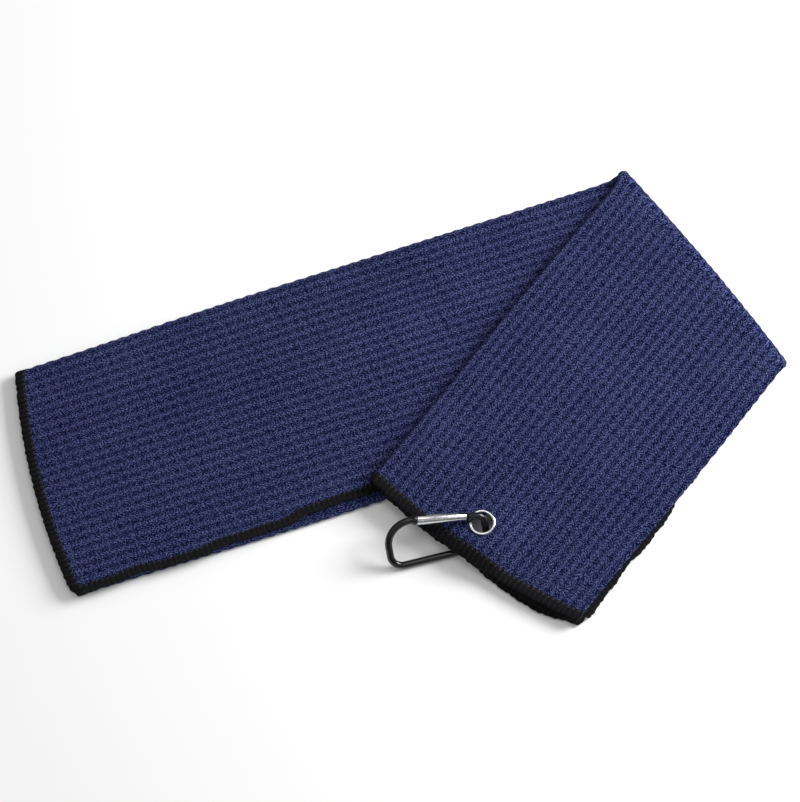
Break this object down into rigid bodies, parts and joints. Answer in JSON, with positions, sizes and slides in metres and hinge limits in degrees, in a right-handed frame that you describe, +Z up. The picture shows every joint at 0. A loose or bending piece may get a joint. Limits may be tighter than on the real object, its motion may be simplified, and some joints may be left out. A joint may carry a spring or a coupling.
{
  "type": "golf towel",
  "caption": "Waffle-weave golf towel folded in three and then once across, with an eyelet and a hanging spring clip.",
  "frame": {"origin": "on the surface that the towel lies on, under the middle of its bounding box", "axes": "+X to the right along the longest extent, with the plain end at -X and the slanting crease at +X; +Y away from the viewer; +Z up, the shortest extent"},
  "size_m": [0.4368, 0.2742, 0.0242],
  "materials": {
    "cloth": "navy microfibre waffle weave",
    "hem_thread": "black overlock stitching",
    "nickel": "polished nickel plate",
    "black_anodised": "gloss black anodised",
    "bright_aluminium": "bright tumbled",
    "spring_steel": "drawn wire"
  },
  "bodies": {
    "lower_leg": {"lower_base_panel": "cloth", "lower_inner_flap": "cloth", "lower_outer_flap": "cloth", "lower_inner_flap_hem": "hem_thread", "lower_outer_flap_hem": "hem_thread", "plain_end_hem": "hem_thread"},
    "upper_leg": {"upper_base_panel": "cloth", "upper_inner_flap": "cloth", "upper_outer_flap": "cloth", "upper_inner_flap_hem": "hem_thread", "upper_outer_flap_hem": "hem_thread", "eyelet_end_hem": "hem_thread", "eyelet": "nickel", "eyelet_washer": "nickel"},
    "clip": {"clip_frame": "black_anodised", "hinge_pin": "spring_steel"},
    "clip_gate": {"gate": "bright_aluminium", "latch_pin": "spring_steel", "gate_spring": "spring_steel"},
    "plunger": {"gate_plunger": "spring_steel"}
  },
  "joints": [
    {"name": "towel_fold", "type": "hinge", "parent": "lower_leg", "child": "upper_leg", "pos_m": [0.17569, 0.07729, 0.00675], "axis": [-0.5807, 0.8141, 0], "range_deg": [0, 175]},
    {"name": "clip_swing", "type": "hinge", "parent": "upper_leg", "child": "clip", "pos_m": [0.04435, -0.08132, 0.01219], "axis": [0, 0, 1], "range_deg": [-2, 42]},
    {"name": "gate_hinge", "type": "hinge", "parent": "clip", "child": "clip_gate", "pos_m": [0.0332, -0.07963, 0.01771], "axis": [0.185, -0.7258, 0.6626], "range_deg": [0, 24], "stiffness_Nm_per_rad": 0.02, "springref_deg": -28.65},
    {"name": "plunger_slide", "type": "slide", "parent": "clip_gate", "child": "plunger", "axis": [-0.9825, -0.1211, 0.1416], "range_m": [0, 0.0003]}
  ],
  "couplings": [
    {"joint": "plunger_slide", "follows": "gate_hinge", "m_per_rad": 0.0006}
  ]
}
